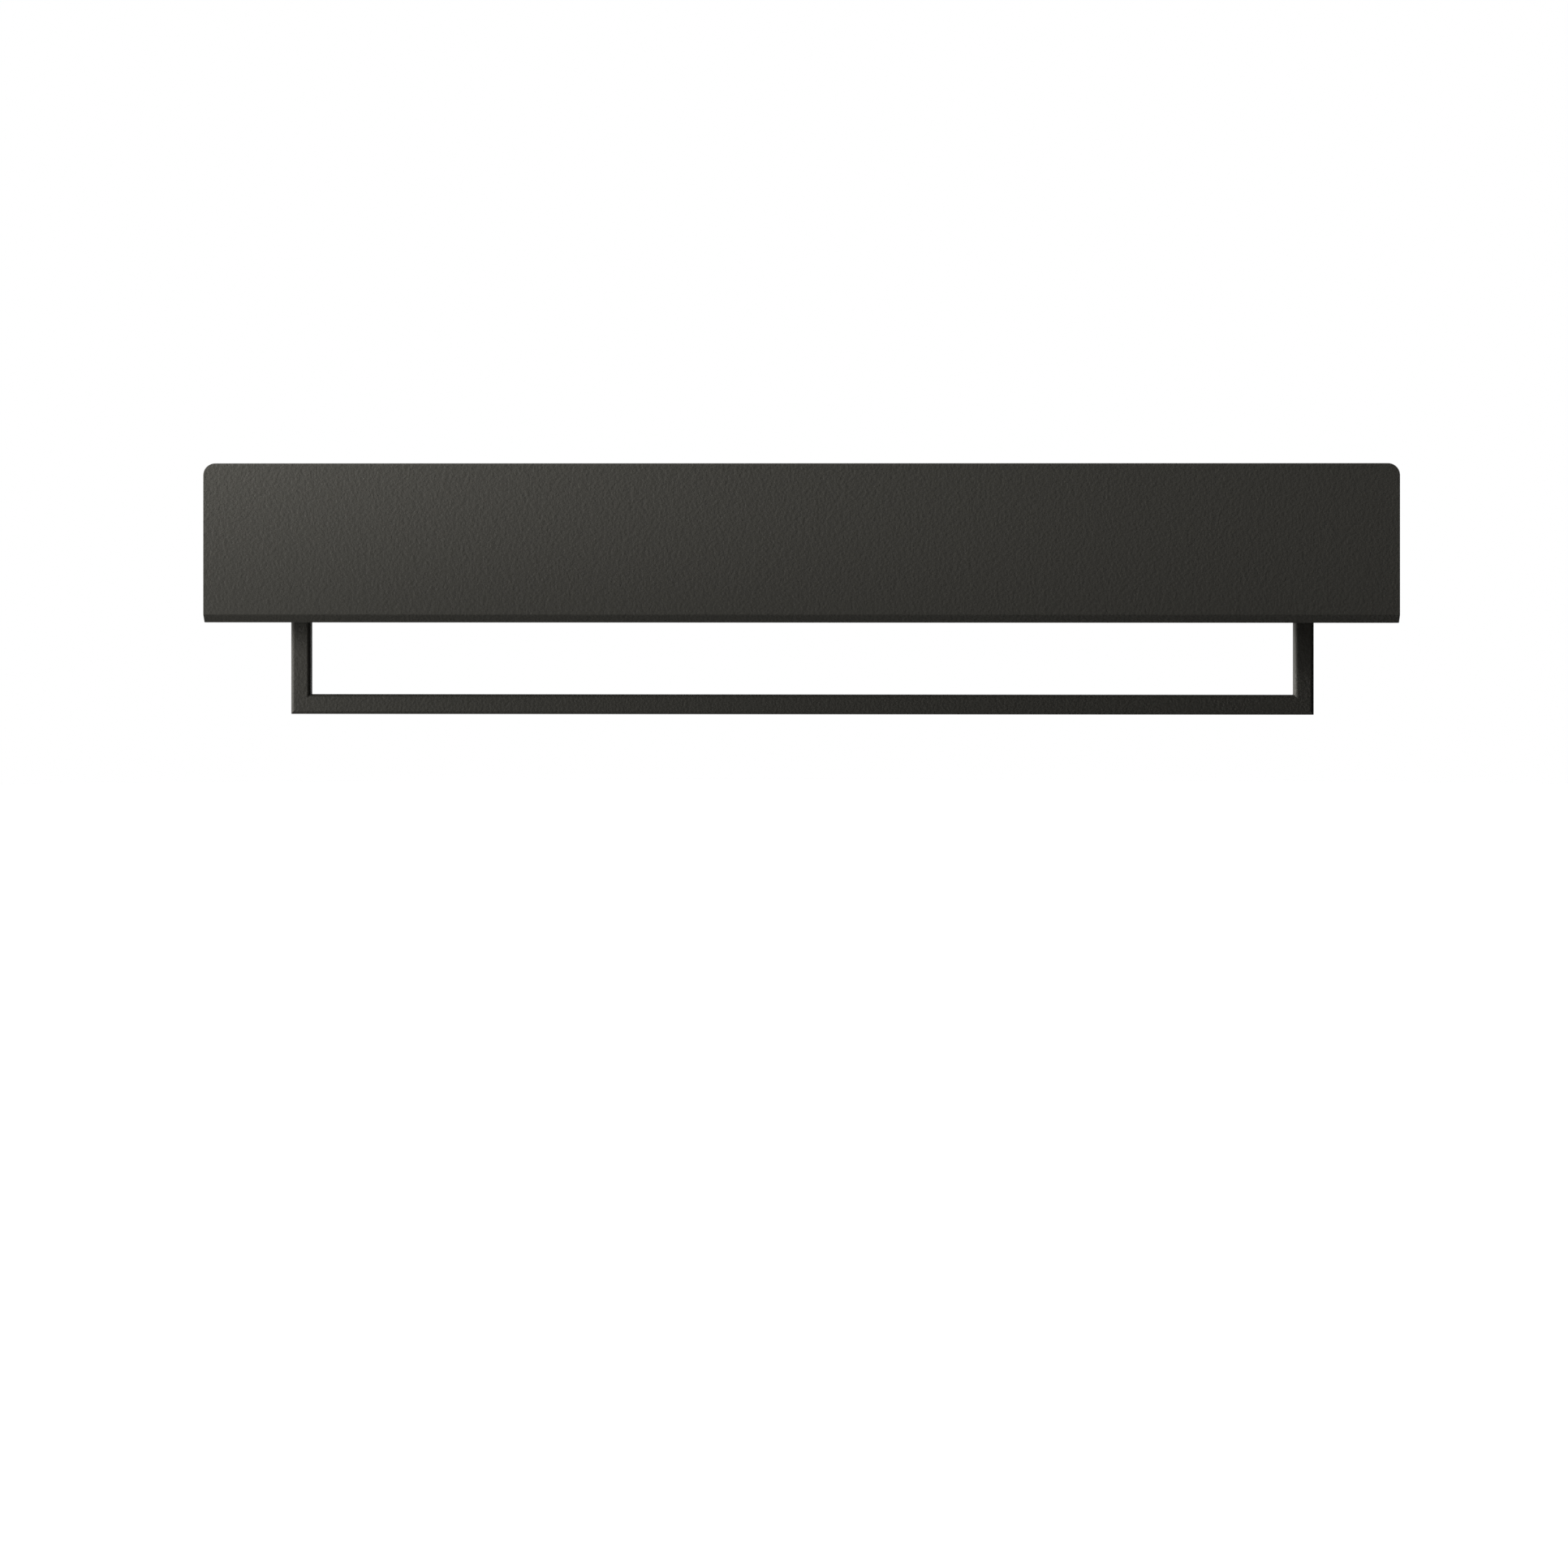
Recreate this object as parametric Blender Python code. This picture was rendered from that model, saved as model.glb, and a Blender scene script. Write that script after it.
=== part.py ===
"""A wall-hung towel rack with a shelf, in powder-coated steel.

One strip of sheet steel is bent twice into an open tray: a long front panel, the shelf floor and
a wall flange with two keyholes. Three lengths of square tube, mitred into a U, hang below the
floor as the towel rail. A screw with a washer goes down through the floor at each end of the rail
and into a threaded insert that fills the top of the post.

Metres, +Z up. The wall is the plane y = 0 and the front panel faces -Y. The origin lies on the
back of the wall flange, halfway between the two wall screws and at their height.
"""

import math

import bmesh
import bpy
from mathutils import Matrix, Vector

# Tray
SHELF_WIDTH = 0.600
SHELF_DEPTH = 0.100
PANEL_HEIGHT = 0.080
FLANGE_HEIGHT = 0.070
SHEET_THICKNESS = 0.002
INNER_BEND_RADIUS = 0.002
PLATE_CORNER_RADIUS = 0.006

# Keyholes in the wall flange: how far each slot's upper end is from the flange's end and top
KEYHOLE_INSET = 0.050
KEYHOLE_EDGE = 0.016
KEYHOLE_HEAD_DIAMETER = 0.010
KEYHOLE_SLOT_WIDTH = 0.0055
KEYHOLE_RISE = 0.009

# Towel rail: how far its sides stand in from the shelf's ends, and its drop below the floor
RAIL_INSET = 0.038
RAIL_DROP = 0.048
TUBE_SIZE = 0.010
TUBE_WALL = 0.001
TUBE_CORNER_RADIUS = 0.002

# Fixings that hold the rail to the floor: M4
INSERT_LENGTH = 0.014
SCREW_DIAMETER = 0.004
SCREW_LENGTH = 0.012
SCREW_TIP_CHAMFER = 0.0005
SCREW_HEAD_DIAMETER = 0.0076
SCREW_HEAD_HEIGHT = 0.0022
SCREW_HEAD_RIM = 0.0003
SOCKET_WIDTH = 0.0025
SOCKET_DEPTH = 0.0013
WASHER_DIAMETER = 0.009
WASHER_THICKNESS = 0.0008

# Clearance between pieces that touch, and the overrun of every cut
FIT_GAP = 0.0003
CUT_OVERRUN = 0.005

# Smoothness of round forms
BEND_STEPS = 10
CORNER_STEPS = 10
TUBE_CORNER_STEPS = 6
ROUND_STEPS = 32
DOME_STEPS = 6

# Places that follow from the sizes above
FLOOR_BOTTOM = KEYHOLE_EDGE - FLANGE_HEIGHT
FLOOR_TOP = FLOOR_BOTTOM + SHEET_THICKNESS
PANEL_TOP = FLOOR_BOTTOM + PANEL_HEIGHT
FLANGE_TOP = FLOOR_BOTTOM + FLANGE_HEIGHT
OUTER_BEND_RADIUS = INNER_BEND_RADIUS + SHEET_THICKNESS
KEYHOLE_X = SHELF_WIDTH / 2 - KEYHOLE_INSET
RAIL_Y = -SHELF_DEPTH / 2
RAIL_BOTTOM = FLOOR_BOTTOM - RAIL_DROP
POST_X = SHELF_WIDTH / 2 - RAIL_INSET - TUBE_SIZE / 2
POST_TOP = FLOOR_BOTTOM - FIT_GAP
CROSSBAR_Z = RAIL_BOTTOM + TUBE_SIZE / 2
MITRE_RELIEF = FIT_GAP / math.sqrt(2)
POST_BOTTOM = CROSSBAR_Z + MITRE_RELIEF
BORE_SIZE = TUBE_SIZE - 2 * TUBE_WALL
BORE_CORNER_RADIUS = TUBE_CORNER_RADIUS - TUBE_WALL
SCREW_HOLE_DIAMETER = SCREW_DIAMETER + 2 * FIT_GAP
WASHER_BOTTOM = FLOOR_TOP + FIT_GAP
SCREW_SEAT = WASHER_BOTTOM + WASHER_THICKNESS + FIT_GAP

UP = Vector((0, 0, 1))
RIGHT = Vector((1, 0, 0))


def clear_scene():
    for thing in list(bpy.data.objects):
        bpy.data.objects.remove(thing, do_unlink=True)


def make_material(name, colour, roughness, metallic):
    material = bpy.data.materials.new(name)
    material.use_nodes = True
    shader = material.node_tree.nodes["Principled BSDF"]
    shader.inputs["Base Color"].default_value = (*colour, 1)
    shader.inputs["Roughness"].default_value = roughness
    shader.inputs["Metallic"].default_value = metallic
    return material


def make_object(name, bm, material):
    """Turns a bmesh into a named object whose faces point out and whose round faces shade smooth."""
    bmesh.ops.recalc_face_normals(bm, faces=bm.faces)
    mesh = bpy.data.meshes.new(name)
    bm.to_mesh(mesh)
    bm.free()
    mesh.shade_smooth()
    mesh.set_sharp_from_angle(angle=math.radians(35))
    mesh.materials.append(material)
    thing = bpy.data.objects.new(name, mesh)
    bpy.context.collection.objects.link(thing)
    return thing


# Outlines: lists of 2-D points, counter-clockwise

def arc(centre, radius, start, end, steps):
    """Points along an arc, both ends included. Angles are in degrees."""
    points = []
    for step in range(steps + 1):
        angle = math.radians(start + (end - start) * step / steps)
        points.append((centre[0] + radius * math.cos(angle), centre[1] + radius * math.sin(angle)))
    return points


def circle(diameter, steps):
    """A closed circle round the origin, whose corners lie on the true diameter."""
    return arc((0, 0), diameter / 2, 0, 360, steps)[:-1]


def rounded_square(size, corner_radius):
    """A square round the origin with rounded corners."""
    points = []
    reach = size / 2 - corner_radius
    for quarter, (side_x, side_y) in enumerate(((1, 1), (-1, 1), (-1, -1), (1, -1))):
        start = 90 * quarter
        centre = (side_x * reach, side_y * reach)
        points += arc(centre, corner_radius, start, start + 90, TUBE_CORNER_STEPS)
    return points


def keyhole():
    """A round head hole with a narrower slot rising from it. The origin is the slot's upper end."""
    slot_radius = KEYHOLE_SLOT_WIDTH / 2
    head_radius = KEYHOLE_HEAD_DIAMETER / 2
    half_mouth = math.degrees(math.asin(slot_radius / head_radius))
    slot_end = arc((0, 0), slot_radius, 0, 180, ROUND_STEPS // 2)
    head = arc((0, -KEYHOLE_RISE), head_radius, 90 + half_mouth, 450 - half_mouth, ROUND_STEPS)
    return slot_end + head


# Solids made from outlines

def prism(points, low, high):
    """A solid prism over an outline in the XY plane, from height low to height high."""
    bm = bmesh.new()
    base = bm.faces.new([bm.verts.new((x, y, low)) for x, y in points])
    raised = bmesh.ops.extrude_face_region(bm, geom=[base])["geom"]
    lifted = [item for item in raised if isinstance(item, bmesh.types.BMVert)]
    bmesh.ops.translate(bm, verts=lifted, vec=(high - low) * UP)
    return bm


def hollow_bar(outer, inner, low, high, low_slope=0, high_slope=0):
    """A wall between two outlines that have the same number of points, sawn off at both ends.

    Each end is a plane at its height on the axis, and rises by its slope along x: a slope of one
    is a mitre. The four rings of corners are joined in turn, round the wall's own section.
    """
    bm = bmesh.new()
    cuts = ((outer, low, low_slope), (outer, high, high_slope), (inner, high, high_slope), (inner, low, low_slope))
    rings = [[bm.verts.new((x, y, height + slope * x)) for x, y in outline] for outline, height, slope in cuts]
    for near, far in zip(rings, rings[1:] + rings[:1]):
        for i in range(len(near)):
            bm.faces.new((near[i - 1], near[i], far[i], far[i - 1]))
    return bm


def cutter(name, bm):
    """A tool body for a cut, which stays out of the finished object."""
    bmesh.ops.recalc_face_normals(bm, faces=bm.faces)
    mesh = bpy.data.meshes.new(name)
    bm.to_mesh(mesh)
    bm.free()
    thing = bpy.data.objects.new(name, mesh)
    thing.hide_render = True
    thing.display_type = "WIRE"
    bpy.context.collection.objects.link(thing)
    return thing


def cut_away(thing, tool):
    modifier = thing.modifiers.new("Cut " + tool.name, "BOOLEAN")
    modifier.operation = "DIFFERENCE"
    modifier.solver = "EXACT"
    modifier.object = tool


# Tray: bent sheet with rounded plate corners, two keyholes and two screw holes

def tray_line(depth):
    """The tray's section from the flange's top to the panel's top, at a depth under the outer skin.

    Points are (y, z). Depth zero is the outer skin and the sheet's thickness is the inner skin,
    so both skins turn round the same two bend centres.
    """
    radius = OUTER_BEND_RADIUS - depth
    bend_z = FLOOR_BOTTOM + OUTER_BEND_RADIUS
    rear_bend = (-OUTER_BEND_RADIUS, bend_z)
    front_bend = (OUTER_BEND_RADIUS - SHELF_DEPTH, bend_z)
    line = [(-depth, FLANGE_TOP)]
    line += arc(rear_bend, radius, 0, -90, BEND_STEPS)
    line += arc(front_bend, radius, -90, -180, BEND_STEPS)
    line.append((depth - SHELF_DEPTH, PANEL_TOP))
    return line


def build_tray(material):
    section = tray_line(0) + tray_line(SHEET_THICKNESS)[::-1]
    left = -SHELF_WIDTH / 2
    bm = bmesh.new()
    end = bm.faces.new([bm.verts.new((left, y, z)) for y, z in section])
    drawn = bmesh.ops.extrude_face_region(bm, geom=[end])["geom"]
    far_end = [item for item in drawn if isinstance(item, bmesh.types.BMVert)]
    bmesh.ops.translate(bm, verts=far_end, vec=SHELF_WIDTH * RIGHT)

    # The only corners above the bends are those of the two plates' free rims. An edge between two
    # of them at the same end of the tray runs across the sheet, and is rounded.
    above_bends = (FLOOR_BOTTOM + OUTER_BEND_RADIUS + min(PANEL_TOP, FLANGE_TOP)) / 2
    rim = {vert for vert in bm.verts if vert.co.z > above_bends}
    corners = [edge for edge in bm.edges if rim.issuperset(edge.verts) and edge.calc_length() < SHELF_DEPTH]
    bmesh.ops.bevel(bm, geom=corners, offset=PLATE_CORNER_RADIUS, offset_type="OFFSET",
                    segments=CORNER_STEPS, profile=0.5, affect="EDGES")
    tray = make_object("shelf_body", bm, material)

    for side, x in (("left", -KEYHOLE_X), ("right", KEYHOLE_X)):
        tool = cutter(side + "_keyhole_cutter", prism(keyhole(), -CUT_OVERRUN, SHEET_THICKNESS + CUT_OVERRUN))
        # The outline stands upright here: its own y axis becomes +Z and its depth runs towards -Y.
        tool.matrix_world = Matrix.Translation((x, 0, 0)) @ Matrix.Rotation(math.radians(90), 4, "X")
        cut_away(tray, tool)
    for side, x in (("left", -POST_X), ("right", POST_X)):
        hole = prism(circle(SCREW_HOLE_DIAMETER, ROUND_STEPS), FLOOR_BOTTOM - CUT_OVERRUN, FLOOR_TOP + CUT_OVERRUN)
        tool = cutter(side + "_screw_hole_cutter", hole)
        tool.location = (x, RAIL_Y, 0)
        cut_away(tray, tool)
    return tray


# Rail: square tube, mitred at its two lower corners

def square_tube(low, high, low_slope=0, high_slope=0):
    outer = rounded_square(TUBE_SIZE, TUBE_CORNER_RADIUS)
    inner = rounded_square(BORE_SIZE, BORE_CORNER_RADIUS)
    return hollow_bar(outer, inner, low, high, low_slope, high_slope)


def build_post(side, direction, material):
    """A post is cut square under the floor, and its mitre drops towards the rail's outer corner."""
    post = make_object("rail_" + side + "_post", square_tube(POST_BOTTOM, POST_TOP, low_slope=-direction), material)
    post.location = (direction * POST_X, RAIL_Y, 0)
    return post


def build_crossbar(material):
    """The crossbar is made along its own z axis, then turned so that its own x axis points down."""
    half = POST_X - MITRE_RELIEF
    crossbar = make_object("rail_crossbar", square_tube(-half, half, low_slope=-1, high_slope=1), material)
    crossbar.matrix_world = Matrix.Translation((0, RAIL_Y, CROSSBAR_Z)) @ Matrix.Rotation(math.radians(90), 4, "Y")
    return crossbar


# Fixings at the top of each post, made about the post's own axis

def build_insert(side, x, material):
    """A square plug that fills the top of the post's bore, drilled through for the screw."""
    outer = rounded_square(BORE_SIZE - 2 * FIT_GAP, BORE_CORNER_RADIUS - FIT_GAP)
    bore = circle(SCREW_HOLE_DIAMETER, len(outer))
    plug = hollow_bar(outer, bore, POST_TOP - INSERT_LENGTH, POST_TOP)
    insert = make_object("rail_" + side + "_insert", plug, material)
    insert.location = (x, RAIL_Y, 0)
    return insert


def build_washer(side, x, material):
    outer = circle(WASHER_DIAMETER, ROUND_STEPS)
    hole = circle(SCREW_HOLE_DIAMETER, ROUND_STEPS)
    ring = hollow_bar(outer, hole, WASHER_BOTTOM, WASHER_BOTTOM + WASHER_THICKNESS)
    washer = make_object("rail_" + side + "_washer", ring, material)
    washer.location = (x, RAIL_Y, 0)
    return washer


def build_screw(side, x, material):
    """A domed socket screw, turned about its own axis, whose head's underside is at height zero."""
    shank_radius = SCREW_DIAMETER / 2
    head_radius = SCREW_HEAD_DIAMETER / 2
    dome_height = SCREW_HEAD_HEIGHT - SCREW_HEAD_RIM
    dome_radius = (head_radius ** 2 + dome_height ** 2) / (2 * dome_height)
    dome_centre = (0, SCREW_HEAD_HEIGHT - dome_radius)
    dome_edge = math.degrees(math.asin((dome_radius - dome_height) / dome_radius))
    profile = [(0, -SCREW_LENGTH), (shank_radius - SCREW_TIP_CHAMFER, -SCREW_LENGTH)]
    profile += [(shank_radius, SCREW_TIP_CHAMFER - SCREW_LENGTH), (shank_radius, 0), (head_radius, 0)]
    profile += arc(dome_centre, dome_radius, dome_edge, 90, DOME_STEPS)

    bm = bmesh.new()
    points = [bm.verts.new((radius, 0, z)) for radius, z in profile]
    line = [bm.edges.new(points[i:i + 2]) for i in range(len(points) - 1)]
    bmesh.ops.spin(bm, geom=points + line, cent=(0, 0, 0), axis=UP, angle=2 * math.pi,
                   steps=ROUND_STEPS, use_merge=True)
    bmesh.ops.remove_doubles(bm, verts=bm.verts, dist=SCREW_TIP_CHAMFER / ROUND_STEPS)
    screw = make_object("rail_" + side + "_screw", bm, material)
    screw.location = (x, RAIL_Y, SCREW_SEAT)

    # A hexagon's corners lie further out than its flats by one over the cosine of thirty degrees.
    across_corners = SOCKET_WIDTH / math.cos(math.radians(30))
    hexagon = prism(circle(across_corners, 6), SCREW_HEAD_HEIGHT - SOCKET_DEPTH, SCREW_HEAD_HEIGHT + CUT_OVERRUN)
    tool = cutter(side + "_socket_cutter", hexagon)
    tool.location = screw.location
    cut_away(screw, tool)
    return screw


clear_scene()
powder_coat = make_material("powder_coated_steel", (0.045, 0.044, 0.040), 0.55, 0.0)
stainless = make_material("stainless_steel", (0.60, 0.60, 0.58), 0.35, 1.0)
zinc_steel = make_material("zinc_plated_steel", (0.52, 0.53, 0.55), 0.45, 1.0)

build_tray(powder_coat)
build_crossbar(powder_coat)
for post_side, post_direction in (("left", -1), ("right", 1)):
    post_x = post_direction * POST_X
    build_post(post_side, post_direction, powder_coat)
    build_insert(post_side, post_x, zinc_steel)
    build_washer(post_side, post_x, stainless)
    build_screw(post_side, post_x, stainless)
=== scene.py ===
import math

import bmesh
import bpy
from mathutils import Matrix, Vector


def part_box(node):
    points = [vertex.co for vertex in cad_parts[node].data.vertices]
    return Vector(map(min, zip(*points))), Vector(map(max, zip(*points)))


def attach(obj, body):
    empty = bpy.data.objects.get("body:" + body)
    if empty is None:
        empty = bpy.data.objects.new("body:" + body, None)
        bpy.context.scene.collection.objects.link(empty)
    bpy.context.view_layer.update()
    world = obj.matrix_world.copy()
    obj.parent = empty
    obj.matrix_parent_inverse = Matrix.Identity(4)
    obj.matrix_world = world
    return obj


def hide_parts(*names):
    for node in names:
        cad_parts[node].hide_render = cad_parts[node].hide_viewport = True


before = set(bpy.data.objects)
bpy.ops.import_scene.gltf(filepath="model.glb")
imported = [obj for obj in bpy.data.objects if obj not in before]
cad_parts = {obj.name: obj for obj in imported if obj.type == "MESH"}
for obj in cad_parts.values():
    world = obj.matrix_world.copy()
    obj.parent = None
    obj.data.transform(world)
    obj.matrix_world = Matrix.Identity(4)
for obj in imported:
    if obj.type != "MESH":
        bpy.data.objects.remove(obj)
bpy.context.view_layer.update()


# Tray
# One strip of 2 mm sheet steel, laser cut with rounded corners and keyholes, then bent on a press
# brake into a front panel, a floor and a wall flange. The front bend is made in two light strokes,
# which leave a narrow flat between them. The cut edges are broken, so the coat rolls over them.

MM = 0.001
UP = Vector((0, 0, 1))
ACROSS = Vector((1, 0, 0))
MERGE_DISTANCE = 0.005 * MM

SHEET_THICKNESS = 2 * MM
FLANGE_HEIGHT = 70 * MM
OUTER_BEND_RADIUS = 4 * MM
FRONT_BEND_STEPS = 1
REAR_BEND_STEPS = 12
PLATE_CORNER_RADIUS = 6 * MM
PLATE_CORNER_STEPS = 10
BROKEN_EDGE = 0.4 * MM
BROKEN_EDGE_STEPS = 3
SHARP_FOLD = 40  # degrees, so the two 45 degree folds of the front bend count as sharp

KEYHOLE_X = 250 * MM
KEYHOLE_SLOT_WIDTH = 5.5 * MM
KEYHOLE_HEAD_DIAMETER = 10 * MM
KEYHOLE_RISE = 9 * MM
SCREW_HOLE_DIAMETER = 4.6 * MM
ROUND_STEPS = 48
CUT_REACH = 10 * MM


def linear(hex_colour):
    """An sRGB hex colour as the linear red, green, blue and alpha that a shader takes."""
    channels = [int(hex_colour[i:i + 2], 16) / 255 for i in (1, 3, 5)]
    return [c / 12.92 if c <= 0.04045 else ((c + 0.055) / 1.055) ** 2.4 for c in channels] + [1]


def new_material(name, **values):
    """A material with these values set on its Principled BSDF, spaces written as underscores."""
    material = bpy.data.materials.new(name)
    material.use_nodes = True
    shader = material.node_tree.nodes["Principled BSDF"]
    for socket, value in values.items():
        shader.inputs[socket.replace("_", " ")].default_value = value
    return material


def add_node(holder, kind, settings=None, feeds=(), **links):
    """Adds a node to a material or the world.

    Settings are its properties, or sockets where there is no such property. Feeds are other nodes'
    outputs that go to its inputs in order, and links are those that go to an input by its name.
    """
    node = holder.node_tree.nodes.new(kind)
    for name, value in (settings or {}).items():
        if hasattr(node, name):
            setattr(node, name, value)
        else:
            node.inputs[name].default_value = value
    for socket, source in zip(node.inputs, feeds):
        holder.node_tree.links.new(source, socket)
    for name, source in links.items():
        holder.node_tree.links.new(source, node.inputs[name.replace("_", " ")])
    return node


def feed_shader(material, **links):
    """Links other nodes' outputs to a material's Principled BSDF."""
    shader = material.node_tree.nodes["Principled BSDF"]
    for socket, source in links.items():
        material.node_tree.links.new(source, shader.inputs[socket.replace("_", " ")])


# Polyester powder coat: black-brown pigment, sprayed dry and baked, fine-textured and nearly matt.
# The melt leaves a tight pebbled skin, with a slow waviness and slightly glossier patches. The real
# pebbles are about 1 mm, too fine for the picture, so they are drawn a little coarser.
POWDER_PEBBLE = 1.4 * MM
POWDER_PEBBLE_HEIGHT = 0.24 * MM
POWDER_GRIT = 0.5 * MM
POWDER_GRIT_HEIGHT = 0.03 * MM
POWDER_WAVE = 38 * MM

powder_coat = new_material("black_brown_powder_coat", IOR=1.5)
place = add_node(powder_coat, "ShaderNodeTexCoord").outputs["Object"]
pebble = add_node(powder_coat, "ShaderNodeTexNoise",
                  {"Scale": 1 / POWDER_PEBBLE, "Detail": 1.0, "Roughness": 0.5}, Vector=place)
grit = add_node(powder_coat, "ShaderNodeTexNoise", {"Scale": 1 / POWDER_GRIT, "Detail": 1.0},
                Vector=place)
wave = add_node(powder_coat, "ShaderNodeTexNoise", {"Scale": 1 / POWDER_WAVE, "Detail": 3.0},
                Vector=place)
# The coat is painted a shade lighter where the pebbles stand high, driven by the same noise as
# their relief. This is a faint painted highlight on the pebble tops, along with the coat's own
# slightly uneven tone.
tint = add_node(powder_coat, "ShaderNodeMixRGB",
                {"Color1": linear("#292824"), "Color2": linear("#2f2e29")},
                Fac=pebble.outputs["Fac"])
gloss = add_node(powder_coat, "ShaderNodeMapRange", {"To Min": 0.66, "To Max": 0.74},
                 Value=wave.outputs["Fac"])
grit_skin = add_node(powder_coat, "ShaderNodeBump",
                     {"Strength": 0.5, "Distance": POWDER_GRIT_HEIGHT}, Height=grit.outputs["Fac"])
pebble_skin = add_node(powder_coat, "ShaderNodeBump",
                       {"Strength": 0.8, "Distance": POWDER_PEBBLE_HEIGHT},
                       Height=pebble.outputs["Fac"], Normal=grit_skin.outputs["Normal"])
feed_shader(powder_coat, Base_Color=tint.outputs["Color"], Roughness=gloss.outputs["Result"],
            Normal=pebble_skin.outputs["Normal"])


def corners_in(geometry):
    """The vertices among the vertices, edges and faces that an operator made."""
    return [item for item in geometry if isinstance(item, bmesh.types.BMVert)]


def as_object(name, bm):
    """Turns a finished bmesh into an object at the origin."""
    mesh = bpy.data.meshes.new(name)
    bm.to_mesh(mesh)
    bm.free()
    thing = bpy.data.objects.new(name, mesh)
    bpy.context.collection.objects.link(thing)
    return thing


def bar_tool(name, diameter, foot, length, sides=ROUND_STEPS):
    """A tool body for cutting: an upright bar, round or with flat sides, standing on its foot."""
    bm = bmesh.new()
    bmesh.ops.create_circle(bm, cap_ends=True, segments=sides, radius=diameter / 2,
                            matrix=Matrix.Translation(foot))
    top = bmesh.ops.extrude_face_region(bm, geom=bm.faces[:])["geom"]
    bmesh.ops.translate(bm, verts=corners_in(top), vec=length * UP)
    bmesh.ops.recalc_face_normals(bm, faces=bm.faces)
    return as_object(name, bm)


def keyhole_tools(x):
    """The tool bodies of a keyhole in the wall flange: a slot over a round hole for the head."""
    slot_sides = bmesh.new()
    bmesh.ops.create_cube(slot_sides, size=1)
    bmesh.ops.scale(slot_sides, verts=slot_sides.verts,
                    vec=(KEYHOLE_SLOT_WIDTH, KEYHOLE_RISE, 2 * CUT_REACH))
    bmesh.ops.translate(slot_sides, verts=slot_sides.verts, vec=(0, -KEYHOLE_RISE / 2, 0))
    tools = [
        bar_tool("slot_end", KEYHOLE_SLOT_WIDTH, (0, 0, -CUT_REACH), 2 * CUT_REACH),
        bar_tool("head_hole", KEYHOLE_HEAD_DIAMETER, (0, -KEYHOLE_RISE, -CUT_REACH), 2 * CUT_REACH),
        as_object("slot_sides", slot_sides),
    ]
    for tool in tools:
        tool.matrix_world = Matrix.Translation(x * ACROSS) @ Matrix.Rotation(math.pi / 2, 4, "X")
    return tools


def cut_holes(thing, tools):
    """Cuts the tool bodies out of a piece, keeps the result as its mesh and clears them away."""
    bpy.context.view_layer.update()
    for tool in tools:
        cut = thing.modifiers.new(tool.name, "BOOLEAN")
        cut.object = tool
        cut.operation = "DIFFERENCE"
        cut.solver = "EXACT"
    drawn = thing.evaluated_get(bpy.context.evaluated_depsgraph_get())
    thing.data = bpy.data.meshes.new_from_object(drawn)
    thing.modifiers.clear()
    for tool in tools:
        bpy.data.objects.remove(tool, do_unlink=True)


def round_off(bm, corners, radius, steps, affect="EDGES", clamp_overlap=False):
    """Rounds edges or corners by a radius, or cuts them off flat where there is one step."""
    bmesh.ops.bevel(bm, geom=corners, offset=radius, offset_type="OFFSET", segments=steps,
                    profile=0.5, affect=affect, material=-1, clamp_overlap=clamp_overlap)


def break_edges(bm, width, least_fold=SHARP_FOLD):
    """Rounds every edge that folds by more than some degrees, by a small radius."""
    sharp = [edge for edge in bm.edges
             if len(edge.link_faces) == 2 and edge.calc_face_angle() > math.radians(least_fold)]
    round_off(bm, sharp, width, BROKEN_EDGE_STEPS, clamp_overlap=True)
    bmesh.ops.remove_doubles(bm, verts=bm.verts, dist=MERGE_DISTANCE)


def break_cut_edges(thing, width):
    """Does the same to a piece that has been cut, once the cuts' doubled points are merged."""
    bm = bmesh.new()
    bm.from_mesh(thing.data)
    bmesh.ops.remove_doubles(bm, verts=bm.verts, dist=MERGE_DISTANCE)
    break_edges(bm, width)
    bm.to_mesh(thing.data)
    bm.free()


def finish_piece(thing, material, slot, *nodes):
    """Gives a piece smooth shading, its finish, the body it rides on and what it stands for."""
    thing.data.shade_smooth()
    thing.data.materials.clear()
    thing.data.materials.append(material)
    large_faces_stay_flat = thing.modifiers.new("flat faces stay flat", "WEIGHTED_NORMAL")
    large_faces_stay_flat.weight = 100
    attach(thing, "root")
    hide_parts(*nodes)


tray_low, tray_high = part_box("shelf_body")
flange_top = tray_low.z + FLANGE_HEIGHT

# The outer skin: a line from the flange's top, round two square corners, to the panel's top, drawn
# out along the shelf's length. The corners of the line become bends and those of the plates arcs.
tray_mesh = bmesh.new()
outer_line = [(tray_high.y, flange_top), (tray_high.y, tray_low.z),
              (tray_low.y, tray_low.z), (tray_low.y, tray_high.z)]
ends = [tray_mesh.verts.new((tray_low.x, y, z)) for y, z in outer_line]
edges = [tray_mesh.edges.new(pair) for pair in zip(ends, ends[1:])]
drawn_out = bmesh.ops.extrude_edge_only(tray_mesh, edges=edges)["geom"]
bmesh.ops.translate(tray_mesh, verts=corners_in(drawn_out),
                    vec=(tray_high.x - tray_low.x) * ACROSS)
bmesh.ops.recalc_face_normals(tray_mesh, faces=tray_mesh.faces)

plate_corners = [vert for vert in tray_mesh.verts if vert.co.z > (tray_low.z + flange_top) / 2]
folds = [edge for edge in tray_mesh.edges if len(edge.link_faces) == 2]
front_fold = [edge for edge in folds if edge.verts[0].co.y < tray_low.y / 2]
rear_fold = [edge for edge in folds if edge not in front_fold]
round_off(tray_mesh, plate_corners, PLATE_CORNER_RADIUS, PLATE_CORNER_STEPS, affect="VERTICES")
round_off(tray_mesh, front_fold, OUTER_BEND_RADIUS, FRONT_BEND_STEPS)
round_off(tray_mesh, rear_fold, OUTER_BEND_RADIUS, REAR_BEND_STEPS)

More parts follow.
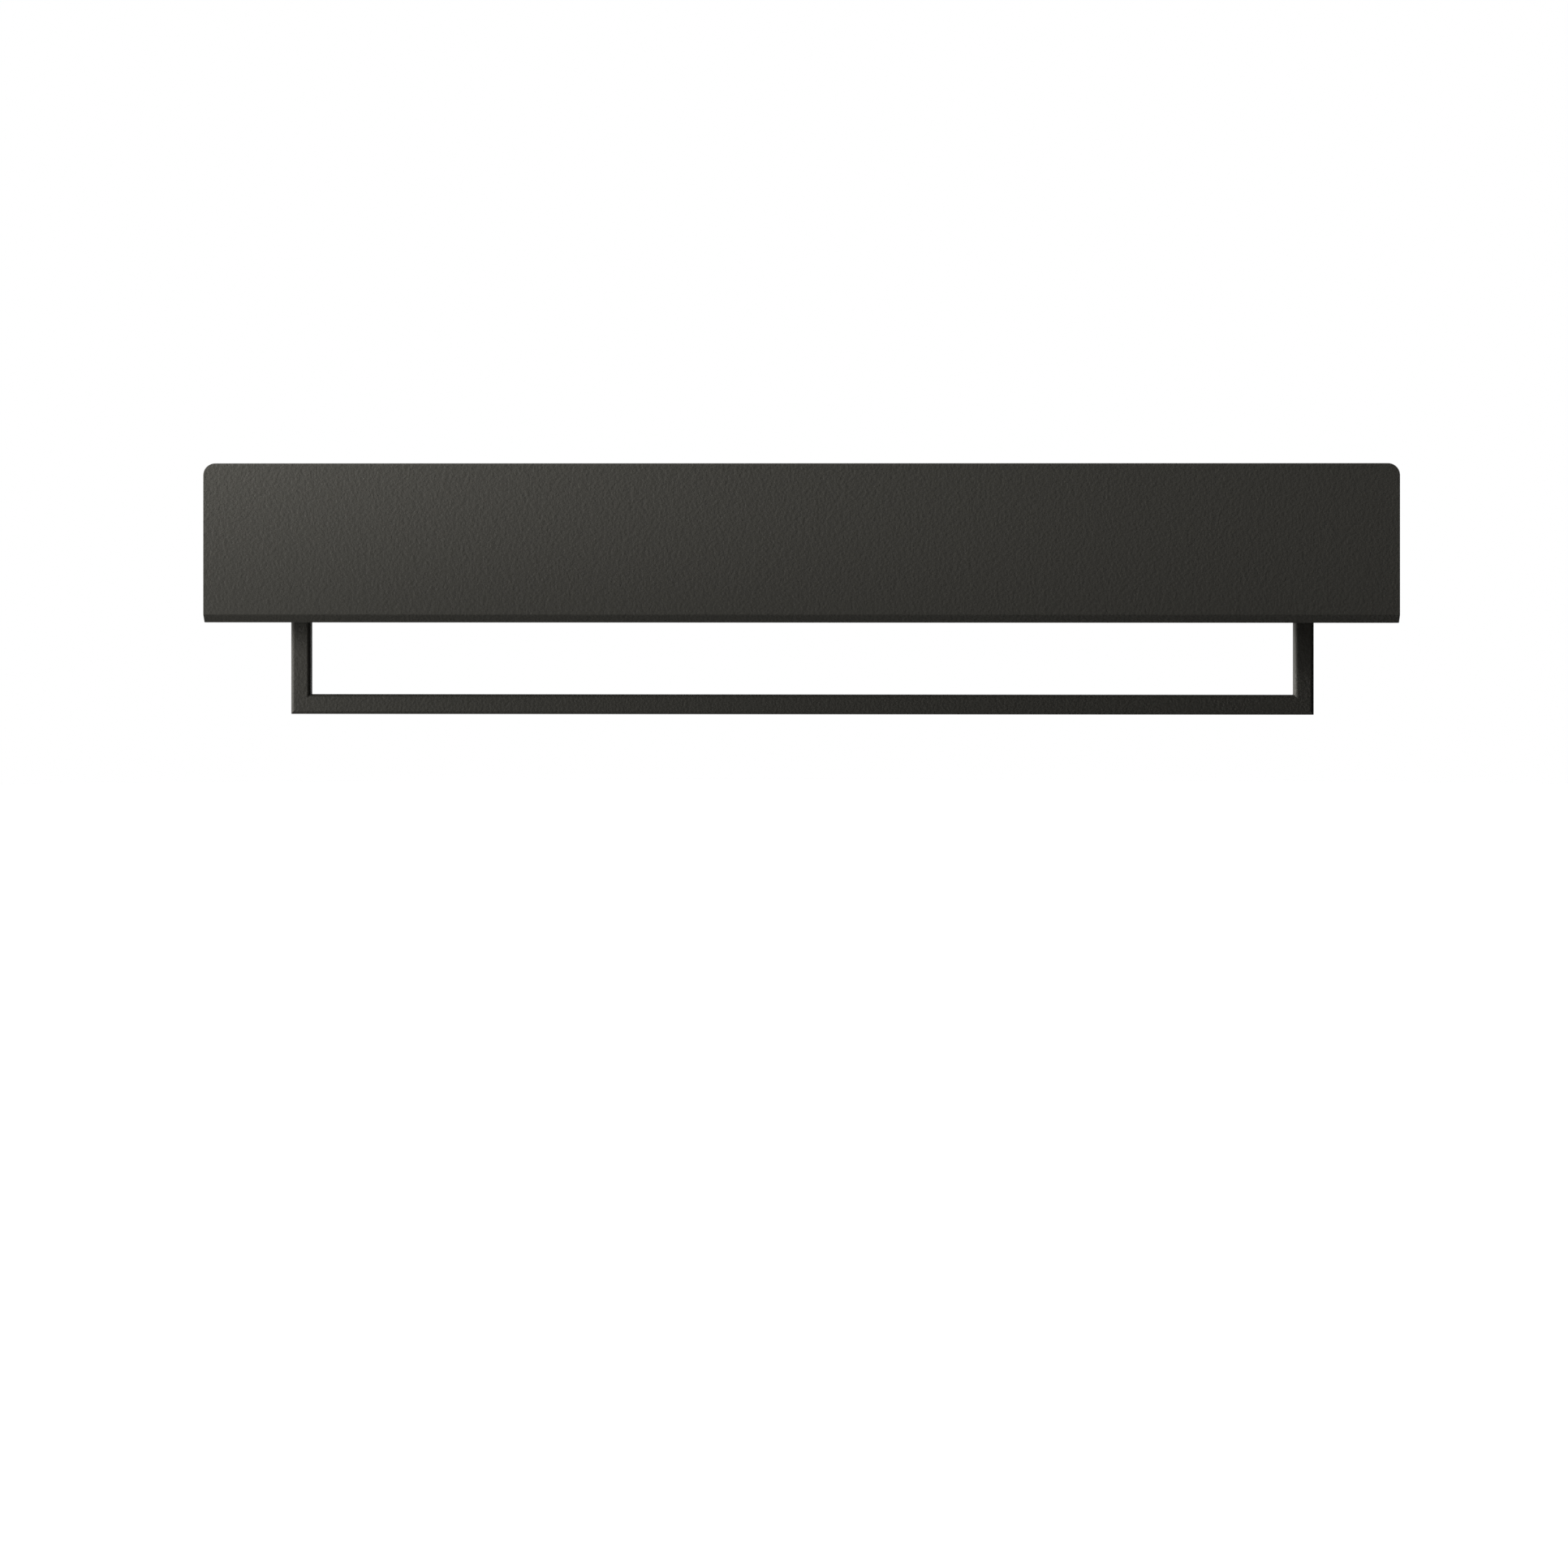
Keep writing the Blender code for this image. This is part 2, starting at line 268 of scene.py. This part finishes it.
# The skin's faces point away from the trough, so its thickness grows inwards.
front = min(tray_mesh.faces, key=lambda face: face.calc_center_median().y)
if front.normal.y > 0:
    bmesh.ops.reverse_faces(tray_mesh, faces=tray_mesh.faces[:])
bmesh.ops.solidify(tray_mesh, geom=tray_mesh.faces[:], thickness=SHEET_THICKNESS)
tray = as_object("shelf_tray", tray_mesh)

hole_tools = []
for direction, side in ((-1, "left"), (1, "right")):
    post_low, post_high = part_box("rail_" + side + "_post")
    post_axis = (post_low + post_high) / 2
    hole_foot = (post_axis.x, post_axis.y, tray_low.z - CUT_REACH)
    hole_tools += keyhole_tools(direction * KEYHOLE_X)
    hole_tools.append(bar_tool("screw_hole", SCREW_HOLE_DIAMETER, hole_foot, 2 * CUT_REACH))
cut_holes(tray, hole_tools)
break_cut_edges(tray, BROKEN_EDGE)
finish_piece(tray, powder_coat, "powder_coat", "shelf_body")


# Towel rail
# Three lengths of 10 mm square steel tube with 2 mm corners, mitred, welded into a U and ground
# flush before coating, so no seam shows and the powder coat runs round both corners of the U.

TUBE_SIZE = 10 * MM
TUBE_WALL = 1 * MM
TUBE_CORNER_RADIUS = 2 * MM
TUBE_CORNER_STEPS = 8
GROUND_EDGE = 0.25 * MM
FAINT_FOLD = 20  # degrees, so the mitre's ridge round the tube's corners is ground down too

bar_low, bar_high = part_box("rail_crossbar")
post_low, post_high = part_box("rail_left_post")
bar_axis_z = (bar_low.z + bar_high.z) / 2
post_axis_x, rail_axis_y = (post_low.x + post_high.x) / 2, (post_low.y + post_high.y) / 2


def tube_section(bm):
    """The tube's rounded section, as a loop of edges at the top of the left post."""
    made = bmesh.ops.create_circle(bm, cap_ends=False, segments=4, radius=TUBE_SIZE / math.sqrt(2),
                                   matrix=Matrix.Rotation(math.pi / 4, 4, "Z"))
    bmesh.ops.translate(bm, verts=made["verts"], vec=(post_axis_x, rail_axis_y, post_high.z))
    round_off(bm, made["verts"], TUBE_CORNER_RADIUS, TUBE_CORNER_STEPS, affect="VERTICES")
    return bm.edges[:]


def draw_half_rail(bm):
    """Draws the section down the post to the mitre, then along the bar to the rail's middle."""
    down_post = bmesh.ops.extrude_edge_only(bm, edges=tube_section(bm))["geom"]
    for corner in corners_in(down_post):
        corner.co.z = bar_axis_z + corner.co.x - post_axis_x
    mitre = [item for item in down_post if isinstance(item, bmesh.types.BMEdge)]
    along_bar = bmesh.ops.extrude_edge_only(bm, edges=mitre)["geom"]
    for corner in corners_in(along_bar):
        corner.co.x = 0


rail_mesh = bmesh.new()
draw_half_rail(rail_mesh)
bmesh.ops.mirror(rail_mesh, geom=rail_mesh.verts[:] + rail_mesh.edges[:] + rail_mesh.faces[:],
                 axis="X", merge_dist=MERGE_DISTANCE)
bmesh.ops.recalc_face_normals(rail_mesh, faces=rail_mesh.faces)
bmesh.ops.solidify(rail_mesh, geom=rail_mesh.faces[:], thickness=TUBE_WALL)
break_edges(rail_mesh, GROUND_EDGE, FAINT_FOLD)
rail = as_object("towel_rail", rail_mesh)
finish_piece(rail, powder_coat, "powder_coat", "rail_crossbar", "rail_left_post", "rail_right_post")


# Inserts
# A zinc-plated square steel plug, drilled and tapped, is pressed into the top of each post. Only
# its upper end could ever be seen, so the plain solids keep their shape and get their plating.

# Zinc plating: bluish bright steel, a little milky, with faint crystal patches and a fine grain.
ZINC_SPANGLE = 2.5 * MM
ZINC_GRAIN = 0.3 * MM
ZINC_GRAIN_HEIGHT = 0.01 * MM

zinc_plate = new_material("zinc_plated_steel", Metallic=1.0)
place = add_node(zinc_plate, "ShaderNodeTexCoord").outputs["Object"]
spangle = add_node(zinc_plate, "ShaderNodeTexVoronoi", {"Scale": 1 / ZINC_SPANGLE}, Vector=place)
grain = add_node(zinc_plate, "ShaderNodeTexNoise", {"Scale": 1 / ZINC_GRAIN, "Detail": 2.0},
                 Vector=place)
tint = add_node(zinc_plate, "ShaderNodeMixRGB",
                {"Color1": linear("#a9b0b8"), "Color2": linear("#c3c8cc")},
                Fac=spangle.outputs["Distance"])
dull = add_node(zinc_plate, "ShaderNodeMapRange", {"To Min": 0.34, "To Max": 0.52},
                Value=grain.outputs["Fac"])
plating = add_node(zinc_plate, "ShaderNodeBump", {"Strength": 0.3, "Distance": ZINC_GRAIN_HEIGHT},
                   Height=grain.outputs["Fac"])
feed_shader(zinc_plate, Base_Color=tint.outputs["Color"], Roughness=dull.outputs["Result"],
            Normal=plating.outputs["Normal"])
for side in ("left", "right"):
    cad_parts["rail_" + side + "_insert"].material_slots[0].material = zinc_plate


# Washers and screws
# A flat stainless washer lies on the shelf floor over each post, under a domed socket screw that
# draws the post up to the floor. The washers are stamped, and the screws are turned and drilled.

SCREW_DIAMETER = 4 * MM
SCREW_LENGTH = 12 * MM
SCREW_HEAD_DIAMETER = 7.6 * MM
SCREW_HEAD_HEIGHT = 2.2 * MM
SCREW_HEAD_RIM = 0.3 * MM
SCREW_HEAD_LAND = 3.4 * MM
SCREW_TIP_CHAMFER = 0.5 * MM
SOCKET_WIDTH = 2.5 * MM
SOCKET_DEPTH = 1.3 * MM
SOCKET_SIDES = 6
SOCKET_EDGE = 0.12 * MM
WASHER_EDGE = 0.15 * MM
DOME_STEPS = 12

# Turned stainless steel: warm grey and bright, with fine rings about the screw's axis that draw its
# highlights out, and softer patches where it was handled.
TURNED_RING = 0.35 * MM
TURNED_RING_HEIGHT = 0.01 * MM
RING_AT_SCALE_ONE = math.pi / 10  # the wave texture's own ring spacing at a scale of 1
HANDLED_PATCH = 3 * MM

stainless = new_material("turned_stainless_steel", Metallic=1.0)
place = add_node(stainless, "ShaderNodeTexCoord").outputs["Object"]

# The two fixings mirror each other, so the distance to either axis comes from the folded place.
folded = add_node(stainless, "ShaderNodeVectorMath", {"operation": "ABSOLUTE"}, Vector=place)
centred = add_node(stainless, "ShaderNodeMapping", {"Location": (post_axis_x, rail_axis_y, 0)},
                   Vector=folded.outputs["Vector"])
rings = add_node(stainless, "ShaderNodeTexWave",
                 {"wave_type": "RINGS", "rings_direction": "Z", "Detail": 1.0, "Distortion": 0.4,
                  "Scale": RING_AT_SCALE_ONE / TURNED_RING}, Vector=centred.outputs["Vector"])
smear = add_node(stainless, "ShaderNodeTexNoise", {"Scale": 1 / HANDLED_PATCH, "Detail": 3.0},
                 Vector=place)
tint = add_node(stainless, "ShaderNodeMixRGB",
                {"Color1": linear("#bdbbb6"), "Color2": linear("#d2d0cb")},
                Fac=smear.outputs["Fac"])
polish = add_node(stainless, "ShaderNodeMapRange", {"To Min": 0.22, "To Max": 0.38},
                  Value=smear.outputs["Fac"])
turning = add_node(stainless, "ShaderNodeBump", {"Strength": 0.25, "Distance": TURNED_RING_HEIGHT},
                   Height=rings.outputs["Fac"])
feed_shader(stainless, Base_Color=tint.outputs["Color"], Roughness=polish.outputs["Result"],
            Normal=turning.outputs["Normal"])


def spin_profile(points, axis_x, axis_y):
    """A solid turned about an upright axis from a profile of (radius, height) points.

    Where the profile stops short of the axis, the end is filled flat.
    """
    bm = bmesh.new()
    corners = [bm.verts.new((axis_x + radius, axis_y, z)) for radius, z in points]
    line = [bm.edges.new(pair) for pair in zip(corners, corners[1:])]
    bmesh.ops.spin(bm, geom=corners + line, cent=(axis_x, axis_y, 0), axis=UP, angle=2 * math.pi,
                   steps=ROUND_STEPS, use_merge=True)
    bmesh.ops.remove_doubles(bm, verts=bm.verts, dist=MERGE_DISTANCE)
    bmesh.ops.holes_fill(bm, edges=bm.edges[:], sides=0)
    bmesh.ops.recalc_face_normals(bm, faces=bm.faces)
    return bm


def make_washer(side):
    """A flat ring with stamped, slightly rounded edges."""
    node = "rail_" + side + "_washer"
    low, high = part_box(node)
    outer, inner = (high.x - low.x) / 2, SCREW_HOLE_DIAMETER / 2
    profile = [(inner, low.z), (outer, low.z), (outer, high.z), (inner, high.z), (inner, low.z)]
    washer_mesh = spin_profile(profile, (low.x + high.x) / 2, (low.y + high.y) / 2)
    break_edges(washer_mesh, WASHER_EDGE)
    finish_piece(as_object(side + "_washer", washer_mesh), stainless, "stainless", node)


def make_screw(side):
    """A shank with a chamfered tip, under a low domed head with a hexagon socket."""
    node = "rail_" + side + "_screw"
    low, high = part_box(node)
    axis_x, axis_y = (low.x + high.x) / 2, (low.y + high.y) / 2
    seat, shank, head = low.z + SCREW_LENGTH, SCREW_DIAMETER / 2, SCREW_HEAD_DIAMETER / 2
    profile = [(shank - SCREW_TIP_CHAMFER, low.z), (shank, low.z + SCREW_TIP_CHAMFER),
               (shank, seat), (head, seat)]

    # The dome rises from the head's rim and ends in a flat land round the socket.
    land, dome_height = SCREW_HEAD_LAND / 2, SCREW_HEAD_HEIGHT - SCREW_HEAD_RIM
    dome_radius = (head ** 2 + dome_height ** 2) / (2 * dome_height)
    dome_centre = seat + SCREW_HEAD_HEIGHT - dome_radius
    for step in range(DOME_STEPS + 1):
        reach = head + (land - head) * step / DOME_STEPS
        profile.append((reach, dome_centre + math.sqrt(dome_radius ** 2 - reach ** 2)))
    screw = as_object(side + "_screw", spin_profile(profile, axis_x, axis_y))
    across_corners = SOCKET_WIDTH / math.cos(math.pi / SOCKET_SIDES)
    socket_floor = (axis_x, axis_y, seat + SCREW_HEAD_HEIGHT - SOCKET_DEPTH)
    cut_holes(screw, [bar_tool("hexagon", across_corners, socket_floor, CUT_REACH, SOCKET_SIDES)])
    break_cut_edges(screw, SOCKET_EDGE)
    finish_piece(screw, stainless, "stainless", node)


for side in ("left", "right"):
    make_washer(side)
    make_screw(side)


# Stage
# The rack hangs clear of a wide pale floor, against white as in a catalogue picture. Under the rack
# the floor takes its soft shadow, and farther out it turns to the same white as what lies behind.

WHITE = (1, 1, 1, 1)
FLOOR_DROP = 1.0
FLOOR_RADIUS = 14
FLOOR_STEPS = 96
SHADOW_REACH = 0.7
WHITE_REACH = 1.7
FLOOR_GLOW = 0.66
AMBIENT = 0.03
BEHIND_FROM, BEHIND_IN_FULL = 0.65, 1.0  # how squarely behind the rack its reflections see white


def white_for_some_rays(holder, behind):
    """How much white a surface shows: all to the camera, some to reflections if it lies behind.

    The side that the rack faces is left unlit, as in a studio, so that its front stays dark.
    """
    rays = add_node(holder, "ShaderNodeLightPath").outputs
    squarely = add_node(holder, "ShaderNodeMapRange",
                        {"From Min": BEHIND_FROM, "From Max": BEHIND_IN_FULL}, Value=behind)
    mirrored = add_node(holder, "ShaderNodeMath", {"operation": "MAXIMUM"},
                        [rays["Is Glossy Ray"], rays["Is Transmission Ray"]])
    dimmed = add_node(holder, "ShaderNodeMath", {"operation": "MULTIPLY"},
                      [mirrored.outputs["Value"], squarely.outputs["Result"]])
    seen = add_node(holder, "ShaderNodeMath", {"operation": "MAXIMUM"},
                    [rays["Is Camera Ray"], dimmed.outputs["Value"]])
    return seen.outputs["Value"]


# Pale painted floor: a matt light grey that shows little but the shadow.
floor_material = new_material("pale_floor", Roughness=0.8, Base_Color=linear("#d6d6d4"),
                              Emission_Color=WHITE)
place = add_node(floor_material, "ShaderNodeTexCoord").outputs["Object"]
level_place = add_node(floor_material, "ShaderNodeMapping", {"Scale": (1, 1, 0)}, Vector=place)
reach = add_node(floor_material, "ShaderNodeVectorMath", {"operation": "LENGTH"},
                 [level_place.outputs["Vector"]])
glow = add_node(floor_material, "ShaderNodeMapRange",
                {"interpolation_type": "SMOOTHSTEP", "From Min": SHADOW_REACH,
                 "From Max": WHITE_REACH, "To Min": FLOOR_GLOW}, Value=reach.outputs["Value"])
from_rack = add_node(floor_material, "ShaderNodeVectorMath", {"operation": "NORMALIZE"}, [place])
behind = add_node(floor_material, "ShaderNodeSeparateXYZ", feeds=[from_rack.outputs["Vector"]])
strength = add_node(floor_material, "ShaderNodeMath", {"operation": "MULTIPLY"},
                    [white_for_some_rays(floor_material, behind.outputs["Y"]),
                     glow.outputs["Result"]])
feed_shader(floor_material, Emission_Strength=strength.outputs["Value"])

floor_mesh = bmesh.new()
bmesh.ops.create_circle(floor_mesh, cap_ends=True, segments=FLOOR_STEPS, radius=FLOOR_RADIUS,
                        matrix=Matrix.Translation(-FLOOR_DROP * UP))
floor = as_object("floor", floor_mesh)
floor.data.materials.append(floor_material)

world = bpy.data.worlds.new("white_studio")
bpy.context.scene.world = world
world.use_nodes = True
background = world.node_tree.nodes["Background"]
background.inputs["Color"].default_value = WHITE
towards = add_node(world, "ShaderNodeTexCoord").outputs["Generated"]
behind = add_node(world, "ShaderNodeSeparateXYZ", feeds=[towards])
strength = add_node(world, "ShaderNodeMath", {"operation": "MAXIMUM"},
                    [white_for_some_rays(world, behind.outputs["Y"])])
strength.inputs[1].default_value = AMBIENT
world.node_tree.links.new(strength.outputs["Value"], background.inputs["Strength"])


def aim_lamp(name, lamp, colour, place, aim, watts):
    """Hangs a lamp at a place, turned to a point."""
    lamp.color = linear(colour)[:3]
    lamp.energy = watts
    holder = bpy.data.objects.new(name, lamp)
    holder.location = place
    holder.rotation_euler = (Vector(aim) - Vector(place)).to_track_quat("-Z", "Y").to_euler()
    bpy.context.collection.objects.link(holder)


def soft_box(name, colour, place, aim, size, watts):
    """Hangs a square lamp with sides of that size."""
    lamp = bpy.data.lights.new(name, "AREA")
    lamp.size = size
    aim_lamp(name, lamp, colour, place, aim, watts)


def spot(name, colour, place, aim, beam, blend, radius, watts):
    """Hangs a spot with a beam of that many degrees, whose rim fades over part of its width."""
    lamp = bpy.data.lights.new(name, "SPOT")
    lamp.spot_size = math.radians(beam)
    lamp.spot_blend = blend
    lamp.shadow_soft_size = radius
    aim_lamp(name, lamp, colour, place, aim, watts)


# A soft box close on the left gives the long fall of light to the right. One high on the right
# lifts what faces up, a wide one far in front lifts the darkest faces, and one behind draws the
# flange and the inside of the panel. A spot skims in from the left: only the lower rim of its beam
# meets the rack, which makes the sheen along the panel's upper left. Two narrow ones as low as the
# rail draw the left edges of the posts: one far off on the left, and one that passes behind the
# left post and reaches the right one.
DAYLIGHT = "#ffffff"
WARM_LIGHT = "#fffdf8"
soft_box("key_from_left", WARM_LIGHT, (-1.0, -0.45, 0.05), (0, -0.1, -0.04), size=0.35, watts=12.5)
soft_box("lift_from_upper_right", DAYLIGHT, (0.9, -0.6, 1.2), (0.15, -0.1, 0), size=0.6, watts=6.4)
soft_box("fill_from_front", DAYLIGHT, (0.1, -2.6, 0.4), (0, -0.1, -0.02), size=2.0, watts=2.15)
soft_box("lift_from_behind", DAYLIGHT, (0.4, 1.25, 1.35), (0, 0, 0), size=0.4, watts=9)
spot("skim_from_left", WARM_LIGHT, (-1.41, -0.45, 0.21), (-0.26, -0.1, 0.433),
     beam=44.6, blend=0.3, radius=0.06, watts=134)
spot("edge_from_left", WARM_LIGHT, (-2.2, -0.1, -0.095), (0, -0.055, -0.095),
     beam=2.2, blend=0.6, radius=0.015, watts=80)
spot("edge_from_behind_left", WARM_LIGHT, (-0.9, 0.5, -0.095), (0.252, -0.05, -0.095),
     beam=4.2, blend=0.6, radius=0.015, watts=50)


# Camera
# Level and straight on, a little right of the middle and above the shelf's floor, turned left by
# one degree. Upright edges stay parallel in the photo, so the frame is shifted down, not tilted.

LENS_PIXELS = 5100
IMAGE_PIXELS = 1932
HORIZON_ROW = 647
SENSOR_WIDTH = 36.0
CAMERA_PLACE = (0.0298, -2.1742, -0.0050)
CAMERA_TURN = 1.045  # degrees to the left

camera_data = bpy.data.cameras.new("camera")
camera_data.sensor_width = SENSOR_WIDTH
camera_data.lens = LENS_PIXELS / IMAGE_PIXELS * SENSOR_WIDTH
camera_data.shift_y = (HORIZON_ROW - IMAGE_PIXELS / 2) / IMAGE_PIXELS
camera = bpy.data.objects.new("camera", camera_data)
camera.location = CAMERA_PLACE
camera.rotation_euler = (math.radians(90), 0, math.radians(CAMERA_TURN))
bpy.context.collection.objects.link(camera)
bpy.context.scene.camera = camera
bpy.context.scene.view_settings.view_transform = "Standard"
